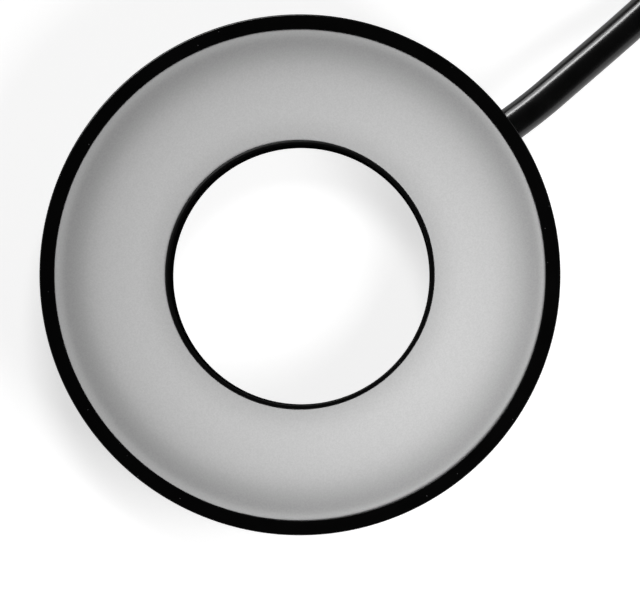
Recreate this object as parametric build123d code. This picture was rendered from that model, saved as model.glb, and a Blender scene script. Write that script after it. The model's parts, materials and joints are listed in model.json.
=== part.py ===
from build123d import *
from itertools import combinations
from math import cos, dist, floor, hypot, pi, radians, sin, sqrt, tan
import os

# A ring light that surrounds a camera lens: an anodised aluminium ring with a flat opal diffuser.
# It lies on its rear mounting face and shines up (+Z). The origin is on the bore axis in the plane
# of the rear face, and the cable leaves along +X. All sizes are in millimetres.

# Body of the ring, with the bore as a share of the outer diameter
ring_diameter = 100.0
bore_share = 0.5
ring_height = 22.0
rim_width = 2.88
lip_width = 0.85
ledge_width = 2.12
sleeve_wall = 2.5
edge_chamfer = 0.4
lip_chamfer = 0.15

# Rear cover and the foot of the bore sleeve
cover_thickness = 2.5
land_height = 3.5
foot_width = 5.0
foot_thickness = 3.0
fit_gap = 0.05
free_gap = 0.5
seal_width = 0.9
seal_depth = 0.6

# Diffuser, its adhesive and the reflector behind it
diffuser_thickness = 2.0
diffuser_recess = 0.5
adhesive_width = 0.22
inner_adhesive_width = 0.15
adhesive_recess = 0.2
flange_thickness = 1.0
flange_width = 1.72
reflector_wall = 1.5
reflector_throat = 0.9

# Light board and what is on it
pad_thickness = 0.5
board_thickness = 1.6
board_inner_gap = 1.3
led_length = 3.5
led_width = 2.8
led_height = 0.8
led_spacing = 7.6
led_window_radius = 1.15
led_window_depth = 0.15
resistor_size = (2.0, 1.25, 0.5)
led_count_per_resistor = 2
regulator_size = (4.5, 2.5, 1.5)
regulator_angles = (120.0, 180.0, 240.0)
diode_size = (2.6, 4.3, 2.2)
diode_gap = 0.7

# Screws: two-millimetre threads, flat and pan heads
thread_radius = 1.0
thread_gap = 0.02
screw_hole_gap = 0.1
flat_head_radius = 1.9
pan_head_radius = 1.9
pan_head_height = 1.2
drive_radius = 0.75
drive_depth = 0.8
cover_screw_length = 6.5
cover_screw_count = 6
cover_screw_start = 30.0
sleeve_screw_length = 5.0
sleeve_screw_count = 3
board_screw_length = 5.0
board_screw_count = 4
board_screw_start = 67.5
tap_allowance = 0.5

# How far a cut runs past the face that it starts from
cut_margin = 1.0

# Mounting threads in the rear face, three-millimetre tapped holes on a circle
mount_circle_diameter = 76.0
mount_hole_radius = 1.25
mount_hole_depth = 4.5
mount_hole_count = 4
mount_hole_start = 45.0

# Cable, its bush in the wall and its clamp
cable_diameter = 6.7
cable_height = 11.0
bush_wall = 0.85
bush_flange_width = 0.7
bush_flange_thickness = 1.0
bush_recess = 0.3
clamp_length = 4.0
clamp_width = 16.0
clamp_wall = 0.9
clamp_split = 0.6
clamp_bush_gap = 0.2
clamp_screw_spread = 12.0
clamp_screw_length = 13.5
notch_margin = 0.6
sheath_overhang = 0.3

# Header on the board and the two conductors that reach it
header_size = (3.5, 6.0, 5.0)
header_wall = 0.55
header_floor = 1.5
header_pin_width = 0.5
header_pin_pitch = 2.0
lead_diameter = 1.2
lead_bend_radius = 1.1
lead_straight = 0.1
lead_gap = 0.2
lead_drop = 1.2
lead_plug_height = 3.6
lead_plug_stand = 1.0

# Free cable: a hand-laid stretch from the wall to the coil, as distances from the exit in X and Y
# and heights above the surface in Z
lead_route = [
    (0.0, 0.0, cable_height),
    (5.5, 0.0, cable_height),
    (15.0, 0.9, 10.0),
    (27.0, 2.0, 6.9),
    (39.0, 3.3, 4.3),
    (51.5, 8.2, cable_diameter / 2),
    (62.5, 18.0, 3.5),
    (69.6, 31.1, 4.0),
]
lead_last_run = 15.0

# Coil that stores the rest of the cable: two layers, inward below and outward above
coil_centre_from_exit = (33.0, 75.0)
coil_outer_radius = 44.8
coil_pitch = 7.3
coil_start_angle = -10.0
coil_turns = 3.306
coil_turnback = 1.75
coil_climb_turns = 0.5
coil_arc_turns = 0.25

# Ties round the coil, which lies on them
tie_thickness = 0.8
tie_gap = 0.35
tie_angles = (50.0, 185.0, 323.0)
tie_span = 10.0

# Stretch between the coil and the connector, as distances along its straight way and heights
end_run_lengths = (11.3, 14.0, 12.0)
end_run_drop_at = 1

# Connector: grip, turning coupling nut, contact carrier
plug_tail_radius = 4.4
plug_shoulder_radius = 6.4
plug_tail_length = 11.0
plug_body_length = 19.0
plug_rib_count = 12
plug_rib_depth = 0.5
plug_rib_start_margin = 2.0
plug_rib_end_margin = 3.0
spigot_radius = 4.3
nut_radius = 7.25
nut_floor_gap = 0.15
nut_grip_length = 8.0
nut_length = 14.0
nut_back_thickness = 3.0
nut_end_gap = 0.3
nut_bore_gap = 0.3
nut_thread_radius = 6.0
nut_flute_count = 24
nut_flute_radius = 0.55
retainer_radius = 4.9
retainer_thickness = 1.4
carrier_radius = 4.3
carrier_wall = 0.6
carrier_floor = 3.5
carrier_length = 10.5
contact_radius = 0.5
contact_circle_radius = 2.4
contact_count = 4
contact_reach = 6.0
plug_seal_radius = 0.35

# Places that follow from the sizes above
ring_radius = ring_diameter / 2
bore_radius = ring_radius * bore_share
pocket_radius = ring_radius - rim_width
wall_inner_radius = pocket_radius - ledge_width
lip_radius = bore_radius + lip_width
sleeve_radius = bore_radius + sleeve_wall
foot_radius = sleeve_radius + foot_width
land_inner_radius = foot_radius + free_gap
land_outer_radius = wall_inner_radius - fit_gap
diffuser_top = ring_height - diffuser_recess
diffuser_bottom = diffuser_top - diffuser_thickness
ledge_height = diffuser_bottom - flange_thickness
land_top = cover_thickness + land_height
board_bottom = land_top + pad_thickness
board_top = board_bottom + board_thickness
board_inner_radius = sleeve_radius + board_inner_gap
board_outer_radius = wall_inner_radius - free_gap
reflector_foot_radius = land_outer_radius - reflector_wall
row_gap = (reflector_foot_radius - board_inner_radius - 3 * led_width) / 4
row_radii = [
    board_inner_radius + row_gap + led_width / 2 + step * (row_gap + led_width) for step in range(3)
]
board_spot_radius = row_radii[1]
cover_screw_circle = (ring_radius + wall_inner_radius) / 2
sleeve_screw_circle = (sleeve_radius + foot_radius) / 2
cable_radius = cable_diameter / 2
bush_radius = cable_radius + bush_wall
bush_flange_radius = bush_radius + bush_flange_width
clamp_outer_x = wall_inner_radius - bush_flange_thickness - clamp_bush_gap
clamp_inner_x = clamp_outer_x - clamp_length
clamp_top = cable_height + cable_radius + clamp_wall
clamp_screw_x = (clamp_outer_x + clamp_inner_x) / 2
sheath_end_x = clamp_inner_x - sheath_overhang
notch_x = sheath_end_x - free_gap
notch_half_width = clamp_width / 2 + notch_margin
lead_rise_x = sheath_end_x - lead_straight - lead_bend_radius
header_x = lead_rise_x - lead_diameter / 2 - lead_gap - header_size[0] / 2
plug_top = board_top + header_size[2] + lead_plug_stand
lead_top = plug_top + lead_drop + lead_bend_radius
diode_y = -(header_size[1] + diode_size[1]) / 2 - diode_gap
coil_centre = (ring_radius + coil_centre_from_exit[0], coil_centre_from_exit[1])
coil_base = tie_thickness + tie_gap + cable_radius
plug_axis_height = nut_radius + nut_floor_gap


def turned(*outline):
    """A piece turned about the bore axis, from points of radius and height."""
    points = [(radius, 0, height) for radius, height in outline]
    return revolve(make_face(Polyline(*points, close=True)), Axis.Z)


def hoop(outer, inner, bottom, top):
    """A plain ring about the bore axis."""
    return turned((inner, bottom), (outer, bottom), (outer, top), (inner, top))


def rod(radius, bottom, top):
    """An upright cylinder on the Z axis between two heights."""
    return Pos(0, 0, bottom) * extrude(Circle(radius), top - bottom)


def rod_along_x(radius, start, end, height):
    """A cylinder that lies along X at a height above the surface."""
    return Pos(start, 0, height) * Rot(0, 90, 0) * extrude(Circle(radius), end - start)


def block(size, low):
    """A box of a given size from its lowest corner."""
    return Pos(*low) * Box(*size, align=Align.MIN)


def centred_block(size, x, y, bottom):
    """A box that stands on a height, centred on a point in plan."""
    return Pos(x, y, bottom) * Box(*size, align=(Align.CENTER, Align.CENTER, Align.MIN))


def on_circle(radius, count, start):
    """Places evenly spaced round the bore axis, each turned to face outwards."""
    return [Rot(0, 0, start + 360 * step / count) * Pos(radius, 0, 0) for step in range(count)]


def save(name, *solids):
    """Write one node, as one solid or as a group of separate ones."""
    shape = solids[0] if len(solids) == 1 else Compound(children=list(solids))
    export_step(shape, f"parts/{name}.step")


# Fasteners

def drive_socket(height):
    """The six-sided socket in a screw head, cut upwards from a height."""
    return Pos(0, 0, height) * extrude(RegularPolygon(drive_radius, 6), drive_depth)


def flat_screw(length):
    """A countersunk screw that points up, with its head flush at height zero."""
    shank = thread_radius - thread_gap
    cone = flat_head_radius - shank
    body = turned((0, 0), (flat_head_radius, 0), (shank, cone), (shank, length), (0, length))
    return body - drive_socket(0)


def flat_screw_hole(depth):
    """The countersunk clearance hole for that screw, cut through a plate of some depth."""
    hole = thread_radius + screw_hole_gap
    cone = flat_head_radius - hole
    return turned((0, 0), (flat_head_radius, 0), (hole, cone), (hole, depth), (0, depth))


def pan_screw(length):
    """A pan-head screw that points down, with the underside of its head at height zero."""
    head = rod(pan_head_radius, 0, pan_head_height)
    head = fillet(head.edges().group_by(Axis.Z)[-1], pan_head_height / 3)
    socket = drive_socket(pan_head_height - drive_depth)
    return head + rod(thread_radius - thread_gap, -length, 0) - socket


# Body of the ring

def make_housing():
    """The outer shell: its front rim, the pocket for the diffuser and the ledge below it."""
    body = turned(
        (wall_inner_radius, cover_thickness),
        (ring_radius, cover_thickness),
        (ring_radius, ring_height - edge_chamfer),
        (ring_radius - edge_chamfer, ring_height),
        (pocket_radius + lip_chamfer, ring_height),
        (pocket_radius, ring_height - lip_chamfer),
        (pocket_radius, ledge_height),
        (wall_inner_radius, ledge_height),
    )
    body -= rod_along_x(bush_radius, sheath_end_x, ring_radius + cut_margin, cable_height)
    tapped = rod(thread_radius, 0, cover_screw_length + tap_allowance)
    for place in on_circle(cover_screw_circle, cover_screw_count, cover_screw_start):
        body -= place * tapped
    return body


def make_bore_sleeve():
    """The inner tube with its front lip and the foot that is screwed to the cover."""
    body = turned(
        (bore_radius, lip_chamfer),
        (bore_radius + lip_chamfer, 0),
        (sleeve_radius, 0),
        (sleeve_radius, cover_thickness),
        (foot_radius, cover_thickness),
        (foot_radius, cover_thickness + foot_thickness),
        (sleeve_radius, cover_thickness + foot_thickness),
        (sleeve_radius, diffuser_bottom),
        (lip_radius, diffuser_bottom),
        (lip_radius, ring_height - lip_chamfer),
        (lip_radius - lip_chamfer, ring_height),
        (bore_radius + lip_chamfer, ring_height),
        (bore_radius, ring_height - lip_chamfer),
    )
    tapped = rod(thread_radius, 0, cover_thickness + foot_thickness + tap_allowance)
    for place in on_circle(sleeve_screw_circle, sleeve_screw_count, 0):
        body -= place * tapped
    return body


def make_rear_cover():
    """The annular back plate with a thick land that carries the board and takes its heat."""
    body = turned(
        (sleeve_radius + fit_gap, 0),
        (ring_radius - edge_chamfer, 0),
        (ring_radius, edge_chamfer),
        (ring_radius, cover_thickness),
        (land_outer_radius, cover_thickness),
        (land_outer_radius, land_top),
        (land_inner_radius, land_top),
        (land_inner_radius, cover_thickness),
        (sleeve_radius + fit_gap, cover_thickness),
    )
    groove_floor = cover_thickness - seal_depth
    body -= hoop(seal_outer_radius, seal_inner_radius, groove_floor, cover_thickness + cut_margin)
    through = flat_screw_hole(cover_thickness + cut_margin)
    for place in on_circle(cover_screw_circle, cover_screw_count, cover_screw_start):
        body -= place * through
    for place in on_circle(sleeve_screw_circle, sleeve_screw_count, 0):
        body -= place * through
    mount_hole = rod(mount_hole_radius, -1, mount_hole_depth)
    for place in on_circle(mount_circle_diameter / 2, mount_hole_count, mount_hole_start):
        body -= place * mount_hole
    board_tap = rod(thread_radius, board_top - board_screw_length - tap_allowance, land_top + cut_margin)
    for place in on_circle(board_spot_radius, board_screw_count, board_screw_start):
        body -= place * board_tap
    clamp_tap = rod(thread_radius, clamp_top - clamp_screw_length - tap_allowance, land_top + cut_margin)
    for y in clamp_screw_rows:
        body -= Pos(clamp_screw_x, y, 0) * clamp_tap
    bush_room = rod_along_x(bush_flange_radius + fit_gap, clamp_outer_x, ring_radius, cable_height)
    return body - bush_room


def make_cover_seal():
    """The soft ring that is pressed into the cover's groove by the housing."""
    bottom = cover_thickness - seal_depth
    return turned(
        (seal_inner_radius, bottom),
        (seal_outer_radius, bottom),
        (seal_outer_radius, cover_thickness - lip_chamfer),
        (seal_outer_radius - lip_chamfer, cover_thickness),
        (seal_inner_radius + lip_chamfer, cover_thickness),
        (seal_inner_radius, cover_thickness - lip_chamfer),
    )


# Light engine and diffuser

def make_diffuser():
    """The flat opal plate that closes the front, with its edges broken."""
    outer = pocket_radius - adhesive_width
    inner = lip_radius + inner_adhesive_width
    return turned(
        (inner, diffuser_bottom),
        (outer, diffuser_bottom),
        (outer, diffuser_top - lip_chamfer),
        (outer - lip_chamfer, diffuser_top),
        (inner + lip_chamfer, diffuser_top),
        (inner, diffuser_top - lip_chamfer),
    )


def make_reflector():
    """The white ring between the board and the diffuser, with a flange that rests on the ledge."""
    outer = land_outer_radius
    flange_outer = pocket_radius - 2 * fit_gap
    body = turned(
        (reflector_foot_radius, board_top),
        (outer, board_top),
        (outer, ledge_height),
        (flange_outer, ledge_height),
        (flange_outer, diffuser_bottom),
        (flange_outer - flange_width, diffuser_bottom),
        (outer - reflector_throat, ledge_height - free_gap),
    )
    notch_top = max(clamp_top + pan_head_height, cable_height + bush_flange_radius) + free_gap
    notch = block(
        (ring_radius - notch_x, 2 * notch_half_width, notch_top - board_bottom),
        (notch_x, -notch_half_width, board_bottom),
    )
    return body - notch


def notched(ring_piece):
    """A board or pad with its outer edge cut back round the cable clamp."""
    cut = block(
        (ring_radius - notch_x, 2 * notch_half_width, ring_height),
        (notch_x, -notch_half_width, 0),
    )
    return ring_piece - cut


def make_board():
    """The annular circuit board, notched at the cable."""
    body = notched(hoop(board_outer_radius, board_inner_radius, board_bottom, board_top))
    hole = rod(thread_radius + screw_hole_gap, 0, ring_height)
    for place in on_circle(board_spot_radius, board_screw_count, board_screw_start):
        body -= place * hole
    return body


def make_thermal_pad():
    """The soft pad that carries the board's heat into the land of the cover."""
    body = notched(hoop(board_outer_radius, land_inner_radius, land_top, board_bottom))
    hole = rod(thread_radius + 4 * screw_hole_gap, 0, ring_height)
    for place in on_circle(board_spot_radius, board_screw_count, board_screw_start):
        body -= place * hole
    return body


def board_spots():
    """Places on the middle circle of the board that screws and regulators take up."""
    angles = [board_screw_start + 360 * step / board_screw_count for step in range(board_screw_count)]
    angles += list(regulator_angles)
    return [
        (board_spot_radius * cos(radians(angle)), board_spot_radius * sin(radians(angle)))
        for angle in angles
    ]


def led_count(radius):
    """How many light packages a full circle of some radius would hold."""
    return floor(2 * pi * radius / led_spacing)


def make_led_row(radius):
    """One circle of light packages, left out where a screw, a regulator or the cable is."""
    package = centred_block((led_width, led_length, led_height), 0, 0, 0)
    package -= rod(led_window_radius, led_height - led_window_depth, led_height + cut_margin)
    count = led_count(radius)
    keep_clear = hypot(led_length, led_length)
    row = []
    for step in range(count):
        angle = 360 * (step + 0.5) / count
        x = radius * cos(radians(angle))
        y = radius * sin(radians(angle))
        beside_cable = x > 0 and abs(y) < notch_half_width + led_length / 2
        beside_spot = any(dist((x, y), spot) < keep_clear for spot in board_spots())
        if not beside_cable and not beside_spot:
            row.append(Pos(0, 0, board_top) * Rot(0, 0, angle) * Pos(radius, 0, 0) * package)
    return row


def make_resistors():
    """Chip resistors between the packages of the inner row, in every second gap."""
    radius = row_radii[0]
    length, width, height = resistor_size
    chip = centred_block((width, length, height), 0, 0, board_top)
    chips = [place * chip for place in on_circle(radius, led_count(radius), 0)[::led_count_per_resistor]]
    return [chip for chip in chips if chip.center().X < 0 or abs(chip.center().Y) > notch_half_width]


def make_regulators():
    """Flat transistor packages that hold the current steady, one for each string."""
    length, width, height = regulator_size
    chip = centred_block((width, length, height), board_spot_radius, 0, board_top)
    chip = chamfer(chip.edges().group_by(Axis.Z)[-1], height / 5)
    return [Rot(0, 0, angle) * chip for angle in regulator_angles]


def make_diode():
    """The diode that guards against a reversed supply, beside the header."""
    chip = centred_block(diode_size, header_x, diode_y, board_top)
    return chamfer(chip.edges().group_by(Axis.Z)[-1], diode_size[2] / 6)


# Cable entry

def make_bush():
    """The rubber bush in the wall, with a flange that follows the wall from inside."""
    inside = wall_inner_radius - bush_flange_thickness
    neck = rod_along_x(bush_radius, inside, ring_radius, cable_height)
    neck &= rod(ring_radius - bush_recess, 0, ring_height)
    flange = rod_along_x(bush_flange_radius, inside, ring_radius, cable_height)
    flange &= rod(wall_inner_radius, 0, ring_height)
    bore = rod_along_x(cable_radius, inside - cut_margin, ring_radius + cut_margin, cable_height)
    return neck + flange - bore


def make_clamp_half(bottom, top):
    """One half of the block that grips the cable between two screws."""
    body = block((clamp_length, clamp_width, top - bottom), (clamp_inner_x, -clamp_width / 2, bottom))
    body = fillet(body.edges().filter_by(Axis.Z), clamp_wall)
    body -= rod_along_x(cable_radius, clamp_inner_x - cut_margin, clamp_outer_x + cut_margin, cable_height)
    hole = rod(thread_radius + screw_hole_gap, 0, ring_height)
    for y in clamp_screw_rows:
        body -= Pos(clamp_screw_x, y, 0) * hole
    return body


def make_header():
    """The shrouded socket on the board, open at the top."""
    length, width, height = header_size
    body = centred_block(header_size, header_x, 0, board_top)
    room = centred_block(
        (length - 2 * header_wall, width - 2 * header_wall, height),
        header_x, 0, board_top + header_floor,
    )
    body -= room
    for y in lead_rows:
        body -= centred_block((header_pin_width, header_pin_width, height), header_x, y, board_top)
    return body


def make_header_pins():
    """The two square pins of the header."""
    height = header_size[2] - header_floor / 2
    return [
        centred_block((header_pin_width, header_pin_width, height), header_x, y, board_top)
        for y in lead_rows
    ]


def make_lead_plug():
    """The crimp housing that is pushed into the header."""
    length, width, height = header_size
    slack = 2 * (header_wall + fit_gap)
    bottom = plug_top - lead_plug_height
    body = centred_block((length - slack, width - slack, lead_plug_height), header_x, 0, bottom)
    slot = header_pin_width + 2 * fit_gap
    pin_room = board_top + height - header_floor / 2 + fit_gap - bottom
    for y in lead_rows:
        body -= centred_block((slot, slot, pin_room), header_x, y, bottom)
    return body


def make_lead(y):
    """One insulated conductor, from the end of the sheath up and over into its crimp housing."""
    path = FilletPolyline(
        (sheath_end_x, y, cable_height),
        (lead_rise_x, y, cable_height),
        (lead_rise_x, y, lead_top),
        (header_x, y, lead_top),
        (header_x, y, plug_top),
        radius=lead_bend_radius,
    )
    return sweep(Plane(path @ 0, z_dir=path % 0) * Circle(lead_diameter / 2), path=path)


# Free cable

def corner_radii(points):
    """The arc at each corner of a route: as large as the shorter of its two runs allows."""
    radii = []
    for before, corner, after in zip(points, points[1:], points[2:]):
        run_in = Vector(*corner) - Vector(*before)
        run_out = Vector(*after) - Vector(*corner)
        half_turn = radians(run_in.get_angle(run_out)) / 2
        radii.append(0.45 * min(run_in.length, run_out.length) / tan(half_turn))
    return radii


def free_tube(name, points):
    """A stretch of cable along a route of straight runs and tangent arcs, checked by its volume."""
    radii = corner_radii(points)
    path = FilletPolyline(*points, radius=radii)
    tube = sweep(Plane(path @ 0, z_dir=path % 0) * Circle(cable_radius), path=path)
    share = tube.volume / (pi * cable_radius**2 * path.length)
    print(f"{name}: length {path.length:.1f}, volume over section times length {share:.4f}")
    print(f"{name}: bend radii {', '.join(f'{radius:.0f}' for radius in radii)}")
    return tube, path.length


def coil_place(turn):
    """Radius, height and angle of the coil's centreline after a number of turns."""
    wound = turn if turn < coil_turnback else 2 * coil_turnback - turn
    climb_start = coil_turnback - coil_climb_turns / 2
    share = min(max((turn - climb_start) / coil_climb_turns, 0), 1)
    height = coil_base + coil_pitch * share**2 * (3 - 2 * share)
    return coil_outer_radius - coil_pitch * wound, height, coil_start_angle + 360 * turn


def coil_point(turn):
    """A point on the coil's centreline."""
    radius, height, angle = coil_place(turn)
    return Vector(
        coil_centre[0] + radius * cos(radians(angle)),
        coil_centre[1] + radius * sin(radians(angle)),
        height,
    )


def coil_way(turn):
    """The direction of the coil at a point, level at both ends."""
    step = 0.001
    low, high = max(turn - step, 0), min(turn + step, coil_turns)
    return (coil_point(high) - coil_point(low)).normalized()


def biarc(start, start_way, end, end_way):
    """Two arcs that leave one point and reach another in given directions."""
    chord = end - start
    along = chord.dot(start_way + end_way)
    spread = 2 * (1 - start_way.dot(end_way))
    reach = (sqrt(along**2 + spread * chord.dot(chord)) - along) / spread
    first = start + start_way * reach
    last = end - end_way * reach
    middle = (first + last) * 0.5
    return [
        TangentArc(start, middle, tangent=start_way),
        TangentArc(middle, end, tangent=last - first),
    ]


def least_gap(path):
    """The least free space between stretches of a tube that are over two diameters apart along it."""
    count = floor(path.length / 1.2)
    points = [tuple(path @ (step / count)) for step in range(count + 1)]
    apart = floor(2 * cable_diameter * count / path.length)
    nearest = min(
        dist(points[a], points[b]) for a, b in combinations(range(count + 1), 2) if b - a > apart
    )
    return nearest - cable_diameter


def make_coil():
    """The wound cable: one unbroken tube with a straight diameter of cable at each end."""
    turns = []
    turn = 0.0
    while turn < coil_turns - coil_arc_turns / 2:
        turns.append(turn)
        turn += coil_arc_turns
    turns.append(coil_turns)
    edges = [Line(coil_entry, coil_point(0))]
    for low, high in zip(turns, turns[1:]):
        edges += biarc(coil_point(low), coil_way(low), coil_point(high), coil_way(high))
    edges.append(Line(coil_point(coil_turns), coil_exit))
    path = Wire(edges)
    tube = sweep(Plane(coil_entry, z_dir=coil_way(0)) * Circle(cable_radius), path=path)
    share = tube.volume / (pi * cable_radius**2 * path.length)
    print(f"coil: length {path.length:.1f}, volume over section times length {share:.4f}")
    print(f"coil: least gap to itself {least_gap(path):.2f}")
    return tube, path.length


def make_tie(angle):
    """One strap drawn round every turn that passes an angle of the coil."""
    first = (angle - coil_start_angle) / 360 % 1
    crossings = []
    while first < coil_turns:
        radius, height, _ = coil_place(first)
        crossings.append((radius, height))
        first += 1
    way = Vector(cos(radians(angle)), sin(radians(angle)), 0)
    section = Plane((*coil_centre, 0), x_dir=way, z_dir=way.cross(Vector(0, 0, 1)))
    outline = [
        make_hull([edge for place in crossings for edge in (Pos(*place) * Circle(radius)).edges()])
        for radius in (cable_radius + tie_gap + tie_thickness, cable_radius + tie_gap)
    ]
    axis = Axis((*coil_centre, 0), (0, 0, 1))
    strap = revolve(section * (outline[0] - outline[1]), axis, revolution_arc=tie_span)
    return strap.rotate(axis, -tie_span / 2)


# Connector, modelled along +Z from the face that the cable meets

def make_plug_grip():
    """The moulded grip: tapered tail, ribbed body and the spigot that keeps the nut on."""
    shoulder = plug_tail_length + plug_body_length
    flange = shoulder + 2 * nut_end_gap + nut_back_thickness
    body = turned(
        (0, 0),
        (plug_tail_radius, 0),
        (plug_shoulder_radius, plug_tail_length),
        (plug_shoulder_radius, shoulder - edge_chamfer),
        (plug_shoulder_radius - edge_chamfer, shoulder),
        (spigot_radius, shoulder),
        (spigot_radius, flange),
        (retainer_radius, flange),
        (retainer_radius, flange + retainer_thickness),
        (0, flange + retainer_thickness),
    )
    rib_start = plug_tail_length + plug_rib_start_margin
    rib_gap = rod(2 * plug_rib_depth, rib_start, shoulder - plug_rib_end_margin)
    for place in on_circle(plug_shoulder_radius + plug_rib_depth, plug_rib_count, 0):
        body -= place * rib_gap
    return body


def make_coupling_nut():
    """The fluted nut with an outside thread, free to turn on the spigot of the grip."""
    back = plug_tail_length + plug_body_length + nut_end_gap
    bore = retainer_radius + nut_bore_gap
    body = turned(
        (spigot_radius + fit_gap, back),
        (nut_radius - edge_chamfer, back),
        (nut_radius, back + edge_chamfer),
        (nut_radius, back + nut_grip_length - edge_chamfer),
        (nut_radius - edge_chamfer, back + nut_grip_length),
        (nut_thread_radius, back + nut_grip_length),
        (nut_thread_radius, back + nut_length - edge_chamfer),
        (nut_thread_radius - edge_chamfer, back + nut_length),
        (bore, back + nut_length),
        (bore, back + nut_back_thickness),
        (spigot_radius + fit_gap, back + nut_back_thickness),
    )
    flute = rod(nut_flute_radius, back - cut_margin, back + nut_grip_length + cut_margin)
    for place in on_circle(nut_radius + nut_flute_radius / 3, nut_flute_count, 0):
        body -= place * flute
    return body


def make_carrier():
    """The plastic cup that holds the contacts, with a key on its inner wall."""
    end = carrier_back + carrier_length
    body = rod(carrier_radius, carrier_back, end)
    body -= rod(carrier_radius - carrier_wall, carrier_back + carrier_floor, end + cut_margin)
    body += block(
        (carrier_wall, carrier_wall, carrier_length),
        (carrier_radius - 1.5 * carrier_wall, -carrier_wall / 2, carrier_back),
    )
    for place in on_circle(contact_circle_radius, contact_count, 180 / contact_count):
        body -= place * rod(contact_radius, carrier_back - cut_margin, end)
    return body


def make_contacts():
    """The contact pins in the floor of the cup."""
    top = carrier_back + carrier_floor + contact_reach
    pin = rod(contact_radius, carrier_back, top)
    pin = chamfer(pin.edges().group_by(Axis.Z)[-1], contact_radius / 2)
    return [place * pin for place in on_circle(contact_circle_radius, contact_count, 180 / contact_count)]


def make_plug_seal():
    """The soft ring at the foot of the cup, which the mating half presses on."""
    height = carrier_back + carrier_floor / 2
    section = Plane.XZ * Pos(carrier_radius + plug_seal_radius, height) * Circle(plug_seal_radius)
    return revolve(section, Axis.Z)


# Places shared by several pieces
seal_middle_radius = (wall_inner_radius + cover_screw_circle - thread_radius - screw_hole_gap) / 2
seal_inner_radius = seal_middle_radius - seal_width / 2
seal_outer_radius = seal_middle_radius + seal_width / 2
clamp_screw_rows = (-clamp_screw_spread / 2, clamp_screw_spread / 2)
lead_rows = (-header_pin_pitch / 2, header_pin_pitch / 2)
carrier_back = (
    plug_tail_length + plug_body_length + 2 * nut_end_gap + nut_back_thickness + retainer_thickness
)

# The cable's way: the coil's ends, the route that leads in and the straight way to the connector
coil_entry = coil_point(0) - coil_way(0) * cable_diameter
coil_exit = coil_point(coil_turns) + coil_way(coil_turns) * cable_diameter
lead_end = coil_entry - coil_way(0) * lead_last_run
lead_points = [(ring_radius + x, y, z) for x, y, z in lead_route] + [tuple(lead_end), tuple(coil_entry)]
end_way = Vector(coil_way(coil_turns).X, coil_way(coil_turns).Y, 0).normalized()
end_points = [tuple(coil_exit)]
end_distance = 0.0
for number, length in enumerate(end_run_lengths):
    end_distance += length
    level = coil_exit.Z if number < end_run_drop_at else plug_axis_height
    place = coil_exit + end_way * end_distance
    end_points.append((place.X, place.Y, level))
plug_frame = Plane(end_points[-1], x_dir=(0, 0, 1), z_dir=end_way)

os.makedirs("parts", exist_ok=True)

save("housing", make_housing())
save("bore_sleeve", make_bore_sleeve())
save("rear_cover", make_rear_cover())
save("cover_seal", make_cover_seal())
save("cover_screws", *[
    place * flat_screw(cover_screw_length)
    for place in on_circle(cover_screw_circle, cover_screw_count, cover_screw_start)
])
save("sleeve_screws", *[
    place * flat_screw(sleeve_screw_length)
    for place in on_circle(sleeve_screw_circle, sleeve_screw_count, 0)
])

save("diffuser", make_diffuser())
save("outer_adhesive", hoop(
    pocket_radius, pocket_radius - adhesive_width, diffuser_bottom, diffuser_top - adhesive_recess
))
save("inner_adhesive", hoop(
    lip_radius + inner_adhesive_width, lip_radius, diffuser_bottom, diffuser_top - adhesive_recess
))
save("reflector", make_reflector())
save("led_board", make_board())
save("thermal_pad", make_thermal_pad())
for row_name, row_radius in zip(("inner", "middle", "outer"), row_radii):
    save(f"leds_{row_name}_row", *make_led_row(row_radius))
save("resistors", *make_resistors())
save("current_regulators", *make_regulators())
save("protection_diode", make_diode())
save("board_screws", *[
    place * Pos(0, 0, board_top) * pan_screw(board_screw_length)
    for place in on_circle(board_spot_radius, board_screw_count, board_screw_start)
])

save("cable_bush", make_bush())
save("cable_clamp_lower", make_clamp_half(land_top, cable_height - clamp_split / 2))
save("cable_clamp_upper", make_clamp_half(cable_height + clamp_split / 2, clamp_top))
save("clamp_screws", *[
    Pos(clamp_screw_x, y, clamp_top) * pan_screw(clamp_screw_length) for y in clamp_screw_rows
])
save("board_header", make_header())
save("header_pins", *make_header_pins())
save("lead_plug", make_lead_plug())
save("lead_brown", make_lead(lead_rows[0]))
save("lead_blue", make_lead(lead_rows[1]))
save("cable_tail", rod_along_x(cable_radius, sheath_end_x, ring_radius, cable_height))

lead_tube, lead_length = free_tube("cable_lead", lead_points)
save("cable_lead", lead_tube)
coil_tube, coil_length = make_coil()
save("cable_coil", coil_tube)
end_tube, end_length = free_tube("cable_end_run", end_points)
save("cable_end_run", end_tube)
save("coil_ties", *[make_tie(angle) for angle in tie_angles])

save("plug_grip", plug_frame * make_plug_grip())
save("coupling_nut", plug_frame * make_coupling_nut())
save("contact_carrier", plug_frame * make_carrier())
save("contact_pins", *[plug_frame * pin for pin in make_contacts()])
save("plug_seal", plug_frame * make_plug_seal())

plug_length = carrier_back + carrier_length
print(f"free cable {lead_length + coil_length + end_length:.1f}, connector {plug_length:.1f}")
print(f"connector starts at {end_points[-1]} and runs along {tuple(end_way)}")
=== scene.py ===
import json
import math
import bmesh
import bpy
from mathutils import Matrix, Vector, noise


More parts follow.
